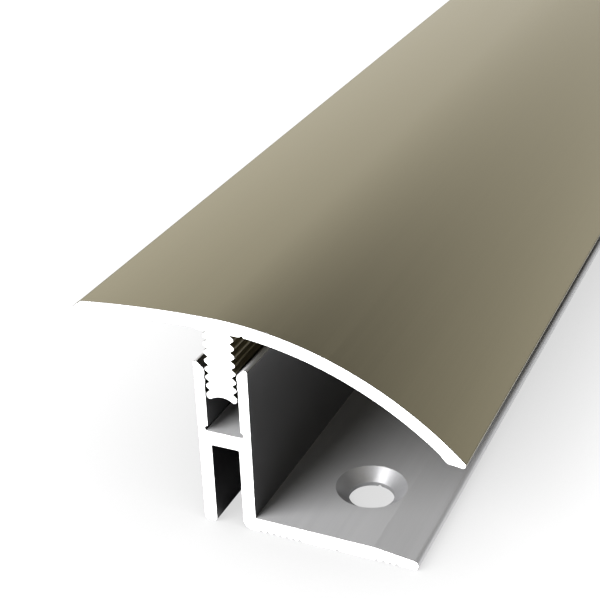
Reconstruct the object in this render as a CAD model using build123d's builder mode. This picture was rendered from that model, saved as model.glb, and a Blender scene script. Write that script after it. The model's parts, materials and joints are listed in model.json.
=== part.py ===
"""Two-part height-adjustable threshold strip: a base profile that is screwed to the floor, and a
ramped cover profile whose ribbed stem is gripped by the base's channel.

Both pieces are extrusions along Y, cut to one stock length. X runs across the strip towards the
toe of the ramp, and Z is up from the floor. The profiles are drawn about the channel's centre
line, and every X below is measured from it.
"""
from build123d import *
from math import sqrt
import os

# Stock length, and the channel's place in the strip's frame
strip_length = 900.0
channel_x = -4.53             # puts the strip's overall width centrally on X = 0

# Base: flange
flange_thickness = 1.70
flange_crease_x = 16.78       # the top is level as far as here, then slopes to the edge
flange_edge_x = 21.73
flange_edge_height = 1.13
flange_top_radius = 0.50
flange_bottom_radius = 0.42

# Base: V grooves along the flange's underside
grip_width = 0.46
grip_depth = 0.25
grip_pitch = 0.76
inner_grip_x = 3.74
inner_grip_count = 7
outer_grip_x = 17.08
outer_grip_count = 4

# Base: channel block
block_half_width = 3.13
wall_top = 20.10
channel_half_width = 1.905
channel_floor = 11.73
relief_radius = 0.28          # round relief along both corners of the channel's floor
relief_x = 1.97
slot_half_width = 1.60
web_underside = 9.98
slot_top_radius = 0.15
wall_foot_outer_radius = 0.45
wall_foot_inner_radius = 0.40
heel_radius = 1.05            # where the slot meets the flange's underside
wall_top_radius = 0.35

# Base: lead-in and teeth at the mouth of the channel
lead_in_x = 2.70
lead_in_bottom = 19.37
tooth_x = 1.825
tooth_base = 0.80
tooth_flat = 0.16
tooth_grooves = (5, 6)        # the stem's grooves, counted from the pad, that face the teeth at rest

# Base: countersunk screw holes
screw_x = 12.64
screw_count = 6
screw_end_distance = 10.0
screw_hole_diameter = 5.1
countersink_diameter = 8.0
countersink_angle = 100.0

# Cover: plate, two arcs that are tangent at the crown
crown_x = -1.07
crown_z = 25.52
wing_radius = 135.0
ramp_radius = 39.90
plate_thickness = 1.45

# Cover: edge of the wing
wing_top_x = -16.17
wing_nose = (-17.54, 23.60)
wing_bottom_x = -17.34
wing_nose_radius = 0.32
wing_bottom_radius = 0.20

# Cover: toe of the ramp
toe_x = 26.53
toe_underside = 13.83
toe_step_corner = (24.52, 14.09)
toe_step_x = 23.74
toe_top_radius = 0.22
toe_bottom_radius = 0.38
toe_step_radius = 0.60

# Cover: pad under the crown, and the ribbed stem
pad_z = 23.88
pad_half_width = 2.60
pad_groove_x = 2.71
pad_groove_radius = 0.17
stem_half_width = 1.80
stem_root = 1.33
rib_pitch = 1.0
groove_count = 8
groove_mouth = 0.72
rib_radius = 0.26
foot_z = 15.78
foot_radius = 0.42
arch_half_width = 1.30
arch_height = 0.45
arch_radius = 0.12
bond = 0.50                   # how far one sketched region runs into the next

section = Plane(origin=(channel_x, 0, 0), x_dir=(1, 0, 0), z_dir=(0, -1, 0))


def corner(sketch, x, z):
    """The sketch's vertex nearest to a point of the section."""
    return sketch.vertices().sort_by_distance((x, z))[0]


def block(half_width, bottom, top, mode):
    """A rectangle on the centre line between two heights."""
    with Locations((0, (bottom + top) / 2)):
        Rectangle(2 * half_width, top - bottom, mode=mode)


def flange_outline():
    """The flange, from inside the channel block to its sloped edge."""
    Polygon(
        (slot_half_width, 0),
        (flange_edge_x, 0),
        (flange_edge_x, flange_edge_height),
        (flange_crease_x, flange_thickness),
        (slot_half_width, flange_thickness),
        align=None,
    )


def grip_groove(x):
    """One V groove in the flange's underside."""
    Polygon(
        (x - grip_width / 2, 0),
        (x + grip_width / 2, 0),
        (x, grip_depth),
        align=None,
        mode=Mode.SUBTRACT,
    )


def lead_in(side):
    """The slope that guides the stem into the channel, on one side."""
    Polygon(
        (0, lead_in_bottom),
        (side * channel_half_width, lead_in_bottom),
        (side * lead_in_x, wall_top),
        (0, wall_top),
        align=None,
        mode=Mode.SUBTRACT,
    )


def channel_tooth(side, z):
    """One low tooth on a channel wall."""
    wall = side * (channel_half_width + bond)
    face = side * channel_half_width
    tip = side * tooth_x
    Polygon(
        (wall, z - tooth_base / 2),
        (face, z - tooth_base / 2),
        (tip, z - tooth_flat / 2),
        (tip, z + tooth_flat / 2),
        (face, z + tooth_base / 2),
        (wall, z + tooth_base / 2),
        align=None,
    )


def groove_z(index):
    """Height of a groove in the stem, counted down from the pad."""
    return pad_z - index * rib_pitch


def arch_point(x, inset):
    """A point of the plate at x, so far below its top surface."""
    radius = wing_radius if x < crown_x else ramp_radius
    rise = sqrt((radius - inset) ** 2 - (x - crown_x) ** 2)
    return (x, crown_z - radius + rise)


def plate_arc(start_x, end_x, inset):
    """The arc of the plate's top or underside between two positions on one side of the crown."""
    middle_x = (start_x + end_x) / 2
    ThreePointArc(arch_point(start_x, inset), arch_point(middle_x, inset), arch_point(end_x, inset))


def plate_outline():
    """The curved plate with its wing's edge and its thickened toe."""
    with BuildLine() as outline:
        plate_arc(wing_top_x, crown_x, 0)
        plate_arc(crown_x, toe_x, 0)
        Polyline(
            arch_point(toe_x, 0),
            (toe_x, toe_underside),
            toe_step_corner,
            arch_point(toe_step_x, plate_thickness),
        )
        plate_arc(toe_step_x, crown_x, plate_thickness)
        plate_arc(crown_x, wing_bottom_x, plate_thickness)
        Polyline(
            arch_point(wing_bottom_x, plate_thickness),
            wing_nose,
            arch_point(wing_top_x, 0),
        )
    make_face(outline.edges())


def stem_groove(side, z):
    """One V groove in a side of the stem."""
    Polygon(
        (side * stem_half_width, z - groove_mouth / 2),
        (side * stem_root, z),
        (side * stem_half_width, z + groove_mouth / 2),
        align=None,
        mode=Mode.SUBTRACT,
    )


def round_rib(sketch, side, z):
    """Round one corner of a rib of the stem."""
    fillet(corner(sketch, side * stem_half_width, z), rib_radius)


def foot_arch():
    """The hollow between the two toes of the stem."""
    with BuildLine() as outline:
        ThreePointArc((-arch_half_width, foot_z), (0, foot_z + arch_height), (arch_half_width, foot_z))
        Line((arch_half_width, foot_z), (-arch_half_width, foot_z))
    make_face(outline.edges(), mode=Mode.SUBTRACT)


# Base profile
with BuildPart() as base_profile:
    with BuildSketch(section) as base_section:
        block(block_half_width, 0, wall_top, Mode.ADD)
        flange_outline()
        block(channel_half_width, channel_floor, wall_top, Mode.SUBTRACT)
        block(slot_half_width, 0, web_underside, Mode.SUBTRACT)
        for side in (-1, 1):
            with Locations((side * relief_x, channel_floor + relief_radius)):
                Circle(relief_radius, mode=Mode.SUBTRACT)
            lead_in(side)
            fillet(corner(base_section, side * block_half_width, wall_top), wall_top_radius)
            fillet(corner(base_section, side * slot_half_width, web_underside), slot_top_radius)
            for index in tooth_grooves:
                channel_tooth(side, groove_z(index))
        fillet(corner(base_section, -block_half_width, 0), wall_foot_outer_radius)
        fillet(corner(base_section, -slot_half_width, 0), wall_foot_inner_radius)
        fillet(corner(base_section, slot_half_width, 0), heel_radius)
        fillet(corner(base_section, flange_edge_x, flange_edge_height), flange_top_radius)
        fillet(corner(base_section, flange_edge_x, 0), flange_bottom_radius)
        grip_groove(screw_x)
        for index in range(inner_grip_count):
            grip_groove(inner_grip_x + index * grip_pitch)
        for index in range(outer_grip_count):
            grip_groove(outer_grip_x + index * grip_pitch)
    extrude(amount=strip_length / 2, both=True)

    screw_pitch = (strip_length - 2 * screw_end_distance) / (screw_count - 1)
    with Locations((channel_x + screw_x, 0, flange_thickness)):
        with GridLocations(0, screw_pitch, 1, screw_count):
            CounterSinkHole(
                radius=screw_hole_diameter / 2,
                counter_sink_radius=countersink_diameter / 2,
                counter_sink_angle=countersink_angle,
            )


# Cover profile
with BuildPart() as cover_profile:
    with BuildSketch(section) as cover_section:
        block(stem_half_width, foot_z, pad_z + bond, Mode.ADD)
        for side in (-1, 1):
            for index in range(groove_count):
                stem_groove(side, groove_z(index))
            for index in range(groove_count):
                round_rib(cover_section, side, groove_z(index) - groove_mouth / 2)
            for index in range(1, groove_count):
                round_rib(cover_section, side, groove_z(index) + groove_mouth / 2)
            fillet(corner(cover_section, side * stem_half_width, foot_z), foot_radius)
        foot_arch()
        for side in (-1, 1):
            fillet(corner(cover_section, side * arch_half_width, foot_z), arch_radius)
        plate_outline()
        fillet(corner(cover_section, toe_x, arch_point(toe_x, 0)[1]), toe_top_radius)
        fillet(corner(cover_section, toe_x, toe_underside), toe_bottom_radius)
        fillet(corner(cover_section, *toe_step_corner), toe_step_radius)
        fillet(corner(cover_section, *wing_nose), wing_nose_radius)
        fillet(corner(cover_section, *arch_point(wing_bottom_x, plate_thickness)), wing_bottom_radius)
        block(pad_half_width, pad_z, pad_z + bond, Mode.ADD)
        for side in (-1, 1):
            with Locations((side * pad_groove_x, pad_z)):
                Circle(pad_groove_radius, mode=Mode.SUBTRACT)
    extrude(amount=strip_length / 2, both=True)


os.makedirs("parts", exist_ok=True)
base_profile.part.label = "base_profile"
cover_profile.part.label = "cover_profile"
export_step(base_profile.part, "parts/base_profile.step")
export_step(cover_profile.part, "parts/cover_profile.step")
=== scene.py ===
import json
from math import acos, asin, atan2, ceil, cos, degrees, hypot, pi, radians, sin, sqrt, tan

import bmesh
import bpy
from mathutils import Matrix, Vector


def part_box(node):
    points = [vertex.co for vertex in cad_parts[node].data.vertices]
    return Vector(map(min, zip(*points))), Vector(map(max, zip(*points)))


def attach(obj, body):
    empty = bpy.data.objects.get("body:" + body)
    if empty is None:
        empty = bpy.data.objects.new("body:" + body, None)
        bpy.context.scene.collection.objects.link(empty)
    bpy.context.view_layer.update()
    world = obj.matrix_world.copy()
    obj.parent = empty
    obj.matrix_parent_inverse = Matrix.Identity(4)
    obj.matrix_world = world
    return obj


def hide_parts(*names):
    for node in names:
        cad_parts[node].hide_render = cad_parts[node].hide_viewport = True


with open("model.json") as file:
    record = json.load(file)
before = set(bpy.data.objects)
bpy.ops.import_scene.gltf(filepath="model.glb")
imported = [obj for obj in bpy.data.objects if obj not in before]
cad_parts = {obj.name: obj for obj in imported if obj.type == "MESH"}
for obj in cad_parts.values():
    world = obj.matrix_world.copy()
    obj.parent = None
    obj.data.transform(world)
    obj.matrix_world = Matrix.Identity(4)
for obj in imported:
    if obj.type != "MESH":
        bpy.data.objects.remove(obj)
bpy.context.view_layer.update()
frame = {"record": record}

# Lengths below are in millimetres, in the section's own axes: X from the channel's centre line,
# Z from the floor. They become metres in the strip's frame when a mesh is made.
MM = 0.001

# Base: flange
flange_thickness = 1.70
flange_crease_x = 16.78
flange_edge_x = 21.73
flange_edge_height = 1.13
flange_top_radius = 0.50
flange_bottom_radius = 0.42
grip_width = 0.46
grip_depth = 0.25
grip_pitch = 0.76
inner_grip_x = 3.74
inner_grip_count = 7
outer_grip_x = 17.08
outer_grip_count = 4

# Base: channel block
block_half_width = 3.13
wall_top = 20.10
channel_half_width = 1.905
channel_floor = 11.73
relief_radius = 0.28
relief_x = 1.97
slot_half_width = 1.60
web_underside = 9.98
slot_top_radius = 0.15
wall_foot_outer_radius = 0.45
wall_foot_inner_radius = 0.40
heel_radius = 1.05
wall_top_radius = 0.35
lead_in_x = 2.70
lead_in_bottom = 19.37
lead_in_radius = 0.05
tooth_x = 1.825
tooth_base = 0.80
tooth_flat = 0.16
tooth_grooves = (5, 6)
tooth_root_radius = 0.20
tooth_tip_radius = 0.10

# Base: countersunk screw holes
screw_x = 12.64
countersink_radius = 4.0
countersink_angle = 100.0

# Cover: plate
crown_x = -1.07
crown_z = 25.52
wing_radius = 135.0
ramp_radius = 39.90
plate_thickness = 1.45
wing_top_x = -16.17
wing_nose = (-17.54, 23.60)
wing_bottom_x = -17.34
wing_nose_radius = 0.32
wing_bottom_radius = 0.20
toe_x = 26.53
toe_underside = 13.83
toe_step_corner = (24.52, 14.09)
toe_step_x = 23.74
toe_top_radius = 0.22
toe_bottom_radius = 0.38
toe_step_radius = 0.60

# Cover: pad and ribbed stem
pad_z = 23.88
pad_half_width = 2.60
pad_groove_x = 2.71
pad_groove_radius = 0.17
stem_half_width = 1.80
stem_root = 1.33
rib_pitch = 1.0
groove_count = 8
groove_mouth = 0.72
rib_radius = 0.26
foot_z = 15.78
foot_radius = 0.42
arch_half_width = 1.30
arch_height = 0.45
arch_radius = 0.12

# Fineness of the meshes, and how far the cutter of a screw hole runs past the flange
arc_step = 7.0                # degrees
plate_step = 0.6
hole_segments = 96
cutter_overrun = 1.0

# Broken edge along the sawn ends: a wider one would fold over at the rounded tops of the lead-in
saw_edge = 0.04

# How upright a face of the channel block has to stand to get painted shade, as its rise over its
# length in the section
upright_share = 0.9
inner_share = 0.6             # inside the channel block's outer wall

# Shading: the sharpest bend that is smoothed, and how near a crease a vertex counts as on it
smooth_angle = radians(28.0)
crease_reach = 0.01

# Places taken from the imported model: the strip's two ends, in metres, and the channel's centre line
base_low, base_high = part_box("base_profile")
front_y, back_y = base_low.y, base_high.y
channel_x = base_low.x / MM + block_half_width


# ---------------------------------------------------------------- outlines of the two sections

def rounded(corners):
    """The outline through corners given as (x, z, radius), with each corner rounded by an arc."""
    outline = []
    for index, (x, z, radius) in enumerate(corners):
        here = Vector((x, z))
        if radius == 0:
            outline.append(here)
            continue
        before = (Vector(corners[index - 1][:2]) - here).normalized()
        after = (Vector(corners[(index + 1) % len(corners)][:2]) - here).normalized()
        half = acos(max(-1.0, min(1.0, before.dot(after)))) / 2
        centre = here + (before + after).normalized() * (radius / sin(half))
        start = here + before * (radius / tan(half)) - centre
        end = here + after * (radius / tan(half)) - centre
        sweep = atan2(start.x * end.y - start.y * end.x, start.dot(end))
        steps = max(2, ceil(abs(degrees(sweep)) / arc_step))
        for step in range(steps + 1):
            turn = sweep * step / steps
            outline.append(centre + Vector((
                start.x * cos(turn) - start.y * sin(turn),
                start.x * sin(turn) + start.y * cos(turn),
            )))
    return outline


def arc(centre, radius, start, end):
    """Corners along an arc, from one angle in degrees to another."""
    steps = max(2, ceil(abs(end - start) / arc_step))
    angles = [radians(start + (end - start) * step / steps) for step in range(steps + 1)]
    return [(centre[0] + radius * cos(a), centre[1] + radius * sin(a), 0) for a in angles]


def backwards(corners):
    """The same corners in the opposite order."""
    return list(reversed(corners))


def teeth(side):
    """The low teeth in a channel wall, from the top one down."""
    corners = []
    for index in tooth_grooves:
        z = pad_z - index * rib_pitch
        corners += [
            (side * channel_half_width, z + tooth_base / 2, tooth_root_radius),
            (side * tooth_x, z + tooth_flat / 2, tooth_tip_radius),
            (side * tooth_x, z - tooth_flat / 2, tooth_tip_radius),
            (side * channel_half_width, z - tooth_base / 2, tooth_root_radius),
        ]
    return corners


def relief(side):
    """The round relief in a corner of the channel's floor, from the wall down to the floor."""
    centre = (side * relief_x, channel_floor + relief_radius)
    wall_angle = degrees(acos((channel_half_width - relief_x) / relief_radius))
    if side > 0:
        return arc(centre, relief_radius, wall_angle, -90)
    return arc(centre, relief_radius, 180 - wall_angle, 270)


def channel_side(side):
    """One side of the channel, from the wall's outer top corner down to the floor."""
    corners = [(side * block_half_width, wall_top, wall_top_radius)]
    corners += [(side * lead_in_x, wall_top, lead_in_radius)]
    corners += [(side * channel_half_width, lead_in_bottom, 0)]
    return corners + teeth(side) + relief(side)


def grips(first, count):
    """V grooves along the flange's underside, from the innermost outwards."""
    corners = []
    for index in range(count):
        x = first + index * grip_pitch
        corners += [(x - grip_width / 2, 0, 0), (x, grip_depth, 0), (x + grip_width / 2, 0, 0)]
    return corners


def base_outline():
    """The base's section, clockwise from the foot of its outer wall."""
    corners = [(-slot_half_width, 0, wall_foot_inner_radius)]
    corners += [(-block_half_width, 0, wall_foot_outer_radius)]
    corners += channel_side(-1)
    corners += backwards(channel_side(1))
    corners += [(block_half_width, flange_thickness, 0)]
    corners += [(flange_crease_x, flange_thickness, 0)]
    corners += [(flange_edge_x, flange_edge_height, flange_top_radius)]
    corners += [(flange_edge_x, 0, flange_bottom_radius)]
    grooves = grips(inner_grip_x, inner_grip_count)
    grooves += grips(screw_x, 1)
    grooves += grips(outer_grip_x, outer_grip_count)
    corners += backwards(grooves)
    corners += [(slot_half_width, 0, heel_radius)]
    corners += [(slot_half_width, web_underside, slot_top_radius)]
    corners += [(-slot_half_width, web_underside, slot_top_radius)]
    return rounded(corners)


def plate_point(x, inset, rounding=0):
    """A corner of the plate at x, so far below its top surface."""
    radius = wing_radius if x < crown_x else ramp_radius
    return (x, crown_z - radius + sqrt((radius - inset) ** 2 - (x - crown_x) ** 2), rounding)


def plate_line(start_x, end_x, inset):
    """Corners along the plate between two positions, without the last one."""
    steps = ceil(abs(end_x - start_x) / plate_step)
    return [plate_point(start_x + (end_x - start_x) * step / steps, inset) for step in range(steps)]


def stem_side(side):
    """One side of the stem, from the pad down to the foot."""
    corners = [(side * stem_root, pad_z, 0)]
    for index in range(groove_count):
        z = pad_z - index * rib_pitch
        if index > 0:
            corners += [(side * stem_half_width, z + groove_mouth / 2, rib_radius)]
            corners += [(side * stem_root, z, 0)]
        corners += [(side * stem_half_width, z - groove_mouth / 2, rib_radius)]
    corners += [(side * stem_half_width, foot_z, foot_radius)]
    corners += [(side * arch_half_width, foot_z, arch_radius)]
    return corners


def foot_arch():
    """The hollow between the stem's two toes, from right to left, without its ends."""
    radius = (arch_half_width ** 2 + arch_height ** 2) / (2 * arch_height)
    centre_z = foot_z + arch_height - radius
    edge = degrees(atan2(foot_z - centre_z, arch_half_width))
    return arc((0, centre_z), radius, edge, 180 - edge)[1:-1]


def pad_groove():
    """The half-round groove between the ramp's underside and the pad, from the ramp to the pad."""
    outer_z = plate_point(pad_groove_x + pad_groove_radius, plate_thickness)[1]
    start = degrees(asin((outer_z - pad_z) / pad_groove_radius))
    return arc((pad_groove_x, pad_z), pad_groove_radius, start, 180)


def pad_hollow():
    """The hollow in the pad's edge under the wing, from the pad upwards."""
    end = degrees(acos((pad_groove_x - pad_half_width) / pad_groove_radius))
    return arc((-pad_groove_x, pad_z), pad_groove_radius, 0, end)


def cover_outline():
    """The cover's section, clockwise from the wing's top edge."""
    corners = plate_line(wing_top_x, crown_x, 0)
    corners += plate_line(crown_x, toe_x, 0)
    corners += [plate_point(toe_x, 0, toe_top_radius)]
    corners += [(toe_x, toe_underside, toe_bottom_radius)]
    corners += [(*toe_step_corner, toe_step_radius)]
    corners += plate_line(toe_step_x, pad_groove_x + pad_groove_radius, plate_thickness)
    corners += pad_groove()
    corners += stem_side(1)
    corners += foot_arch()
    corners += backwards(stem_side(-1))
    corners += pad_hollow()
    corners += plate_line(-pad_half_width, wing_bottom_x, plate_thickness)
    corners += [plate_point(wing_bottom_x, plate_thickness, wing_bottom_radius)]
    corners += [(*wing_nose, wing_nose_radius)]
    return rounded(corners)


# ---------------------------------------------------------------- meshes

# The finishes of a profile's faces, in the order of its material slots. The broken edges and the shaded
# faces carry painted shade.
drawn_slot, sawn_slot, edge_shade_slot, painted_shade_slot, drilled_slot = range(5)


def inset(outline, distance):
    """The outline moved into the metal by so much, with mitred corners. It runs clockwise."""
    least_cosine = 0.5        # no mitre is longer than twice the distance
    moved = []
    for index, here in enumerate(outline):
        before = (here - outline[index - 1]).normalized()
        after = (outline[(index + 1) % len(outline)] - here).normalized()
        inward_before = Vector((before.y, -before.x))
        inward_after = Vector((after.y, -after.x))
        middle = (inward_before + inward_after).normalized()
        cosine = max(least_cosine, middle.dot(inward_before))
        moved.append(here + middle * (distance / cosine))
    return moved


def is_underneath(start, side):
    """Whether a face of the cover looks downwards, or belongs to the stem, and so gets painted shade.
    """
    return side.x < 0 or abs(start.x) < pad_half_width and start.y < pad_z


def is_upright(start, side):
    """Whether a face of the channel block stands upright, or looks inwards from its outer wall, and so
    gets painted shade.
    """
    share = inner_share if start.x < 0 and side.y < 0 else upright_share
    return start.x < inner_grip_x and abs(side.y) > share * side.length


def extrusion(name, outline, finishes, is_shaded):
    """A length of profile, with a narrow broken edge round each of its two sawn ends.

    The finishes are those of the drawn faces, the sawn ends, the broken edges and the shaded faces; the
    last two are painted shade.
    is_shaded says which faces get painted shade, from the start of a side of the outline and the side.
    """
    narrow = inset(outline, saw_edge)
    edge = saw_edge * MM
    rings = ((front_y, narrow), (front_y + edge, outline), (back_y - edge, outline), (back_y, narrow))
    mesh = bmesh.new()
    loops = []
    for y, section in rings:
        loops.append([mesh.verts.new(((channel_x + p.x) * MM, y, p.y * MM)) for p in section])
    count = len(outline)
    for near, far in zip(loops, loops[1:]):
        is_broken_edge = near is loops[0] or far is loops[-1]
        for index in range(count):
            after = (index + 1) % count
            face = mesh.faces.new((near[index], near[after], far[after], far[index]))
            side = outline[after] - outline[index]
            # The broken edges get a painted dark outline, and the shaded faces painted shade
            if is_broken_edge:
                face.material_index = edge_shade_slot
            elif is_shaded(outline[index], side):
                face.material_index = painted_shade_slot
            else:
                face.material_index = drawn_slot
    for end in (loops[0], loops[-1]):
        face = mesh.faces.new(end)
        face.material_index = sawn_slot
    bmesh.ops.recalc_face_normals(mesh, faces=mesh.faces)
    data = bpy.data.meshes.new(name)
    mesh.to_mesh(data)
    mesh.free()
    for finish in finishes:
        data.materials.append(finish)
    piece = bpy.data.objects.new(name, data)
    bpy.context.scene.collection.objects.link(piece)
    return piece


def turned(centre, profile, mesh):
    """A solid turned about a vertical line, through (radius, z) pairs from the bottom up.

    The line's place is in metres.
    """
    rings = []
    for radius, z in profile:
        ring = []
        for step in range(hole_segments):
            angle = 2 * pi * step / hole_segments
            x = centre[0] + radius * MM * cos(angle)
            y = centre[1] + radius * MM * sin(angle)
            ring.append(mesh.verts.new((x, y, z * MM)))
        rings.append(ring)
    faces = [mesh.faces.new(rings[0]), mesh.faces.new(rings[-1])]
    for low, high in zip(rings, rings[1:]):
        for step in range(hole_segments):
            after = (step + 1) % hole_segments
            faces.append(mesh.faces.new((low[step], low[after], high[after], high[step])))
    for face in faces:
        face.material_index = drilled_slot


def screw_holes():
    """The (x, y) of each screw hole, in metres, and its radius, from the record's bolt patterns."""
    holes = []
    for mount in frame["record"]["mounts"]:
        if mount["kind"] == "bolt_pattern":
            x, y = mount["pos_m"][0], mount["pos_m"][1]
            reach = mount["dims"]["spacing_y_mm"] * MM / 2
            holes += [((x, y + side * reach), mount["dims"]["hole_r_mm"]) for side in (-1, 1)]
    return holes


def drill(piece, finish):
    """Cut the countersunk screw holes, whose walls get this finish."""
    piece.data.materials.append(finish)
    slope = 1 / tan(radians(countersink_angle / 2))
    mesh = bmesh.new()
    for centre, radius in screw_holes():
        cone_foot = flange_thickness - (countersink_radius - radius) * slope
        cone_mouth = countersink_radius + cutter_overrun / slope
        profile = (
            (radius, -cutter_overrun),
            (radius, cone_foot),
            (cone_mouth, flange_thickness + cutter_overrun),
        )
        turned(centre, profile, mesh)
    bmesh.ops.recalc_face_normals(mesh, faces=mesh.faces)
    data = bpy.data.meshes.new("cutter")
    mesh.to_mesh(data)
    mesh.free()
    for material in piece.data.materials:
        data.materials.append(material)
    cutter = bpy.data.objects.new("cutter", data)
    bpy.context.scene.collection.objects.link(cutter)
    cut = piece.modifiers.new("screw holes", "BOOLEAN")
    cut.operation = "DIFFERENCE"
    cut.solver = "EXACT"
    cut.object = cutter
    view_layer = bpy.context.evaluated_depsgraph_get()
    piece.data = bpy.data.meshes.new_from_object(piece.evaluated_get(view_layer))
    piece.modifiers.clear()
    bpy.data.objects.remove(cutter)


def keep_crease(data):
    """Mark the shallow crease along the top of the flange as sharp."""
    crease = ((channel_x + flange_crease_x) * MM, flange_thickness * MM)
    reach = crease_reach * MM
    on_crease = [hypot(v.co.x - crease[0], v.co.z - crease[1]) < reach for v in data.vertices]
    for edge in data.edges:
        if all(on_crease[end] for end in edge.vertices):
            edge.use_edge_sharp = True


def shade(piece):
    """Smooth shading that keeps the flats flat and the creases sharp."""
    piece.data.polygons.foreach_set("use_smooth", [True] * len(piece.data.polygons))
    piece.data.set_sharp_from_angle(angle=smooth_angle)
    keep_crease(piece.data)
    normals = piece.modifiers.new("flat faces first", "WEIGHTED_NORMAL")
    normals.keep_sharp = True
    normals.weight = 100


# ---------------------------------------------------------------- materials

# A metal's grain is a fine noise mixed with a cloudy one, cloud_size times as wide. Together they
# mostly keep between noise_low and noise_high.
fine_share = 0.65
cloud_size = 12
noise_low, noise_high = 0.3, 0.7


def node(tree, kind, settings=None, **inputs):
    """A new node of this kind, with its inputs by name, or by number as _0, _1 and so on.

    An input is a value or another node's output socket.
    """
    made = tree.nodes.new("ShaderNode" + kind)
    for name, value in (settings or {}).items():
        setattr(made, name, value)
    for name, value in inputs.items():
        socket = made.inputs[int(name[1:])] if name[0] == "_" else made.inputs[name.replace("_", " ")]
        if isinstance(value, bpy.types.NodeSocket):
            tree.links.new(value, socket)
        else:
            socket.default_value = value
    return made


def combine(tree, operation, *values):
    """The result of a math node."""
    inputs = {"_" + str(index): value for index, value in enumerate(values)}
    return node(tree, "Math", {"operation": operation}, **inputs).outputs[0]


def spread(tree, value, low, high, to_low, to_high, smooth=True):
    """value carried from one range to another, and held at its ends."""
    kind = "SMOOTHSTEP" if smooth else "LINEAR"
    inputs = {"Value": value, "From_Min": low, "From_Max": high, "To_Min": to_low, "To_Max": to_high}
    return node(tree, "MapRange", {"interpolation_type": kind}, **inputs).outputs[0]


def stretched_noise(tree, across, along, detail=3.0):
    """Noise drawn out along the strip, from its grain's width and length in millimetres."""
    place = node(tree, "TexCoord").outputs["Object"]
    scale = (1 / (across * MM), 1 / (along * MM), 1 / (across * MM))
    stretched = node(tree, "Mapping", Vector=place, Scale=scale).outputs[0]
    return node(tree, "TexNoise", Vector=stretched, Scale=1.0, Detail=detail).outputs["Fac"]


def tint(tree, factor, dark, light):
    """A colour between two, by a factor from 0 to 1."""
    return node(tree, "Mix", {"data_type": "RGBA"}, _0=factor, _6=dark, _7=light).outputs[2]


def scaled(colour, factor):
    """A colour made lighter or darker, with its alpha."""
    return tuple(channel * factor for channel in colour) + (1.0,)


def metal(name, colour, contrast, metallic, roughness, roughness_range, grain, bump):
    """A metal with drawn-out grain: the grain is (across, along) and bump its depth, in millimetres."""
    made = bpy.data.materials.new(name)
    made.use_nodes = True
    tree = made.node_tree
    shader = tree.nodes["Principled BSDF"]
    fine = stretched_noise(tree, *grain)
    cloudy = stretched_noise(tree, grain[0] * cloud_size, grain[1], detail=1.0)
    fine_part = combine(tree, "MULTIPLY", fine, fine_share)
    cloudy_part = combine(tree, "MULTIPLY", cloudy, 1 - fine_share)
    both = combine(tree, "ADD", fine_part, cloudy_part)
    level = spread(tree, both, noise_low, noise_high, 0.0, 1.0, smooth=False)
    tone = tint(tree, level, scaled(colour, 1 - contrast), scaled(colour, 1 + contrast))
    least, most = roughness - roughness_range, roughness + roughness_range
    rough = spread(tree, both, noise_low, noise_high, least, most, smooth=False)
    bumped = node(tree, "Bump", Height=fine, Distance=bump * MM).outputs[0]
    shader.inputs["Metallic"].default_value = metallic
    tree.links.new(tone, shader.inputs["Base Color"])
    tree.links.new(rough, shader.inputs["Roughness"])
    tree.links.new(bumped, shader.inputs["Normal"])
    return made


# ---------------------------------------------------------------- build the two pieces

# The sawn ends are near white and their broken edges near black, a painted dark outline, so that the
# section reads clearly. The cover's underside and the upright faces of the channel block are darker
# than the rest: painted shade.
sand = (0.52, 0.465, 0.31)
sand_in_painted_shade = (0.24, 0.216, 0.150)
light_grey = (0.66, 0.66, 0.67)
mid_grey = (0.40, 0.40, 0.41)
grey_in_painted_shade = (0.12, 0.12, 0.123)
edge_shade_black = (0.03, 0.03, 0.03)
near_white = (0.93, 0.93, 0.93)

anodised = metal(
    "anodised_sand", sand, contrast=0.02, metallic=1.0,
    roughness=0.30, roughness_range=0.02, grain=(0.12, 60), bump=0.001,
)
# Painted shade: a darker copy of the anodised sand for the cover's underside and stem
underside_painted_shade = metal(
    "anodised_sand_painted_shade", sand_in_painted_shade, contrast=0.02, metallic=1.0,
    roughness=0.30, roughness_range=0.02, grain=(0.12, 60), bump=0.001,
)
mill = metal(
    "mill_finish", light_grey, contrast=0.03, metallic=0.78,
    roughness=0.40, roughness_range=0.04, grain=(0.10, 40), bump=0.0015,
)
# Painted shade: a darker copy of the mill finish for the channel block's upright and inward faces
upright = metal(
    "mill_painted_shade", grey_in_painted_shade, contrast=0.03, metallic=0.9,
    roughness=0.25, roughness_range=0.02, grain=(0.10, 40), bump=0.0004,
)
# Painted shade: a near-black outline along the broken edges of the sawn ends
broken = metal(
    "broken_edge_painted_shade", edge_shade_black, contrast=0.02, metallic=0.78,
    roughness=0.40, roughness_range=0.04, grain=(0.10, 40), bump=0.0015,
)
sawn = metal(
    "sawn_end", near_white, contrast=0.02, metallic=0.3,
    roughness=0.5, roughness_range=0.05, grain=(0.10, 1), bump=0.002,
)
machined = metal(
    "machined_hole", mid_grey, contrast=0.04, metallic=0.78,
    roughness=0.40, roughness_range=0.04, grain=(0.5, 0.5), bump=0.002,
)

base_finishes = (mill, sawn, broken, upright)
base = extrusion("base_profile_visual", base_outline(), base_finishes, is_upright)
drill(base, machined)
shade(base)
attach(base, "base")
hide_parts("base_profile")

cover_finishes = (anodised, sawn, broken, underside_painted_shade)
cover = extrusion("cover_profile_visual", cover_outline(), cover_finishes, is_underneath)
shade(cover)
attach(cover, "cover")
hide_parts("cover_profile")


# ---------------------------------------------------------------- floor, light and camera

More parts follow.
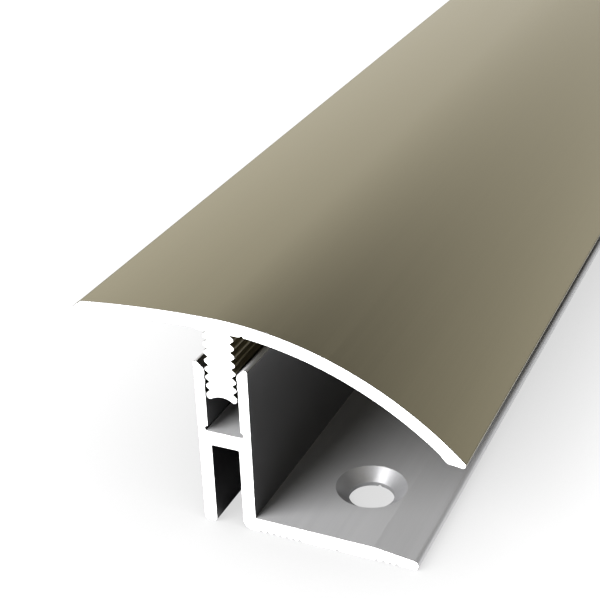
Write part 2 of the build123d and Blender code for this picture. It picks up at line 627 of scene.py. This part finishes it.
def plain_floor():
    """A white floor that glows evenly, with a painted shadow that dims the glow where the strip
    shelters it.

    It casts no light of its own. In reflections it glows only on the half-sheltered ground, a painted
    reflection.
    """
    half_size = 6.0
    shelter_reach = 0.09
    least_glow = 0.66
    corners = [(x * half_size, y * half_size, 0) for x, y in ((-1, -1), (1, -1), (1, 1), (-1, 1))]
    data = bpy.data.meshes.new("floor")
    data.from_pydata(corners, [], [(0, 1, 2, 3)])
    white = bpy.data.materials.new("floor_white")
    white.use_nodes = True
    tree = white.node_tree
    shader = tree.nodes["Principled BSDF"]
    shader.inputs["Base Color"].default_value = (0.05, 0.05, 0.05, 1.0)
    shader.inputs["Emission Color"].default_value = (1.0, 1.0, 1.0, 1.0)
    shader.inputs["Roughness"].default_value = 1.0
    shader.inputs["Specular IOR Level"].default_value = 0.0
    # Openness runs from 0, closed in by the strip, to 1, under the open sky
    openness = node(tree, "AmbientOcclusion", {"samples": 16}, Distance=shelter_reach).outputs["AO"]
    # Painted shadow: the glow dims where the strip closes the floor in
    seen_with_painted_shadow = spread(tree, openness, 0.3, 1.0, least_glow, 1.0, smooth=False)
    # Painted reflection: in reflections the floor glows only where it is half sheltered
    not_closed_in = spread(tree, openness, 0.15, 0.4, 0.0, 0.95)
    not_open = spread(tree, openness, 0.7, 0.9, 1.0, 0.0)
    painted_reflection = combine(tree, "MULTIPLY", not_closed_in, not_open)
    in_mirror = node(tree, "LightPath").outputs["Is Glossy Ray"]
    level = node(tree, "Mix", _0=in_mirror, _2=seen_with_painted_shadow, _3=painted_reflection).outputs[0]
    tree.links.new(level, shader.inputs["Emission Strength"])
    data.materials.append(white)
    floor = bpy.data.objects.new("floor", data)
    bpy.context.scene.collection.objects.link(floor)
    floor.visible_diffuse = False


def band(tree, azimuth, height, middle, half_width, fade, top, top_fade, level):
    """Light from a stretch of the horizon round one azimuth, up to a top elevation, in degrees."""
    fade_start = sin(radians(top - top_fade))
    fade_end = sin(radians(top + top_fade))
    away = combine(tree, "WRAP", combine(tree, "SUBTRACT", azimuth, radians(middle)), pi, -pi)
    away = combine(tree, "ABSOLUTE", away)
    sideways = spread(tree, away, radians(half_width - fade), radians(half_width + fade), 1.0, 0.0)
    upwards = spread(tree, height, fade_start, fade_end, level, 0.0)
    return combine(tree, "MULTIPLY", sideways, upwards)


def studio():
    """Soft light from bands round the horizon and from overhead, before a plain pale backdrop.

    It is dimmest between the bands and the overhead light, and dark below the horizon. Azimuths here
    run from straight behind the strip, positive round to the right.
    """
    backdrop = 0.93
    between = 0.03
    below = 0.02
    world = bpy.data.worlds.new("studio")
    bpy.context.scene.world = world
    world.use_nodes = True
    tree = world.node_tree
    towards = node(tree, "SeparateXYZ", Vector=node(tree, "TexCoord").outputs["Generated"])
    azimuth = combine(tree, "ARCTAN2", towards.outputs["X"], towards.outputs["Y"])
    height = towards.outputs["Z"]
    sky = (tree, azimuth, height)
    behind = band(*sky, middle=-42, half_width=67, fade=36, top=32.7, top_fade=5.3, level=0.51)
    low_glow = band(*sky, middle=0, half_width=60, fade=25, top=18, top_fade=12, level=0.37)
    front = band(*sky, middle=-145, half_width=45, fade=25, top=45, top_fade=20, level=0.40)
    right = band(*sky, middle=125, half_width=55, fade=25, top=50, top_fade=20, level=0.50)
    overhead_edge, overhead_core = sin(radians(52)), sin(radians(75))
    overhead = spread(tree, height, overhead_edge, overhead_core, 0.0, 0.45)
    light = between
    for part in (behind, low_glow, front, right, overhead):
        light = combine(tree, "ADD", light, part)
    above_horizon = spread(tree, height, -0.08, 0.02, 0.0, 1.0)
    strength = combine(tree, "ADD", combine(tree, "MULTIPLY", light, above_horizon), below)
    in_view = node(tree, "LightPath").outputs["Is Camera Ray"]
    shown = node(tree, "Mix", _0=in_view, _2=strength, _3=backdrop).outputs[0]
    background = tree.nodes["Background"]
    background.inputs["Color"].default_value = (1.0, 1.0, 1.0, 1.0)
    tree.links.new(shown, background.inputs["Strength"])


def direction(azimuth, elevation):
    """The direction towards an azimuth, from the front round to the right, and an elevation."""
    return Vector((
        sin(azimuth) * cos(elevation),
        -cos(azimuth) * cos(elevation),
        sin(elevation),
    ))


def key_light():
    """A broad soft light from the front left."""
    data = bpy.data.lights.new("key", "SUN")
    data.energy = 16.5
    data.angle = radians(55)
    lamp = bpy.data.objects.new("key", data)
    bpy.context.scene.collection.objects.link(lamp)
    towards = direction(azimuth=radians(-37), elevation=radians(25))
    lamp.rotation_euler = towards.to_track_quat("Z", "Y").to_euler()


def camera():
    """The view from above and a little to the right of the strip's front end."""
    data = bpy.data.cameras.new("camera")
    data.lens = 81.583
    data.sensor_width = 36.0
    data.clip_start = 0.01
    data.clip_end = 20.0
    eye = bpy.data.objects.new("camera", data)
    bpy.context.scene.collection.objects.link(eye)
    place = (0.054215, front_y - 0.10567, 0.090364)
    roll = Matrix.Rotation(radians(-2.192), 3, "Z")
    back = direction(azimuth=radians(25.036), elevation=radians(27.590))
    turn = back.to_track_quat("Z", "Y").to_matrix() @ roll
    eye.matrix_world = Matrix.Translation(place) @ turn.to_4x4()
    bpy.context.scene.camera = eye


plain_floor()
studio()
key_light()
camera()
bpy.context.scene.view_settings.view_transform = "Standard"
